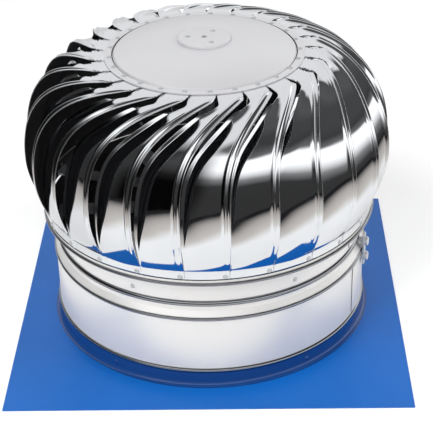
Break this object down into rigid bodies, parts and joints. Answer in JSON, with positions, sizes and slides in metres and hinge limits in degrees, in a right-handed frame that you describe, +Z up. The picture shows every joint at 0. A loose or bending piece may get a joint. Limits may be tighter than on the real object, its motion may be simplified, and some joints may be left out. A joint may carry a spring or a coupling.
{
  "type": "chimney cowl",
  "caption": "Wind-driven chimney cowl: a rotor of swept, overlapping polished vanes turns on a round throat that rises from a square flashing plate.",
  "frame": {"origin": "middle of the flashing plate's underside", "axes": "+Z up along the rotor's axis, -Y towards the viewer, X and Y along the plate's sides"},
  "size_m": [0.5, 0.5, 0.3811],
  "materials": {
    "blue_coated_plate": "glossy blue coating",
    "stainless_sheet": "satin",
    "polished_vane_sheet": "bright polished",
    "aluminium_rivet": "bright",
    "galvanised_steel": "zinc plated",
    "bearing_steel": "ground",
    "turned_aluminium": "turned"
  },
  "bodies": {
    "base": {"base_plate": "blue_coated_plate", "neck_pipe": "stainless_sheet", "throat_collar": "stainless_sheet", "pipe_rivets": "aluminium_rivet", "collar_rivets": "aluminium_rivet", "support_bar_1": "galvanised_steel", "support_bar_2": "galvanised_steel", "support_bar_3": "galvanised_steel", "shaft": "galvanised_steel", "shaft_nuts": "galvanised_steel", "shaft_washers": "galvanised_steel", "shaft_spacer": "galvanised_steel", "top_nut": "galvanised_steel", "upper_inner_ring": "bearing_steel", "lower_inner_ring": "bearing_steel", "upper_balls": "bearing_steel", "lower_balls": "bearing_steel", "joint_strap": "galvanised_steel", "strap_bolts": "galvanised_steel", "strap_spacers": "galvanised_steel", "strap_nuts": "galvanised_steel"},
    "rotor": {"top_plate": "stainless_sheet", "hub_cap": "stainless_sheet", "hub_rivets": "aluminium_rivet", "bearing_housing": "turned_aluminium", "bearing_retainer": "galvanised_steel", "upper_outer_ring": "bearing_steel", "top_rivets": "aluminium_rivet", "rotor_ring": "stainless_sheet", "ring_rivets": "aluminium_rivet", "lower_spider": "galvanised_steel", "lower_outer_ring": "bearing_steel", "vane_01": "polished_vane_sheet", "vane_02": "polished_vane_sheet", "vane_03": "polished_vane_sheet", "vane_04": "polished_vane_sheet", "vane_05": "polished_vane_sheet", "vane_06": "polished_vane_sheet", "vane_07": "polished_vane_sheet", "vane_08": "polished_vane_sheet", "vane_09": "polished_vane_sheet", "vane_10": "polished_vane_sheet", "vane_11": "polished_vane_sheet", "vane_12": "polished_vane_sheet", "vane_13": "polished_vane_sheet", "vane_14": "polished_vane_sheet", "vane_15": "polished_vane_sheet", "vane_16": "polished_vane_sheet", "vane_17": "polished_vane_sheet", "vane_18": "polished_vane_sheet", "vane_19": "polished_vane_sheet", "vane_20": "polished_vane_sheet", "vane_21": "polished_vane_sheet", "vane_22": "polished_vane_sheet", "vane_23": "polished_vane_sheet", "vane_24": "polished_vane_sheet", "vane_25": "polished_vane_sheet"}
  },
  "joints": [
    {"name": "rotor_spin", "type": "hinge", "parent": "base", "child": "rotor", "pos_m": [0, 0, 0.26], "axis": [0, 0, 1], "continuous": true}
  ]
}
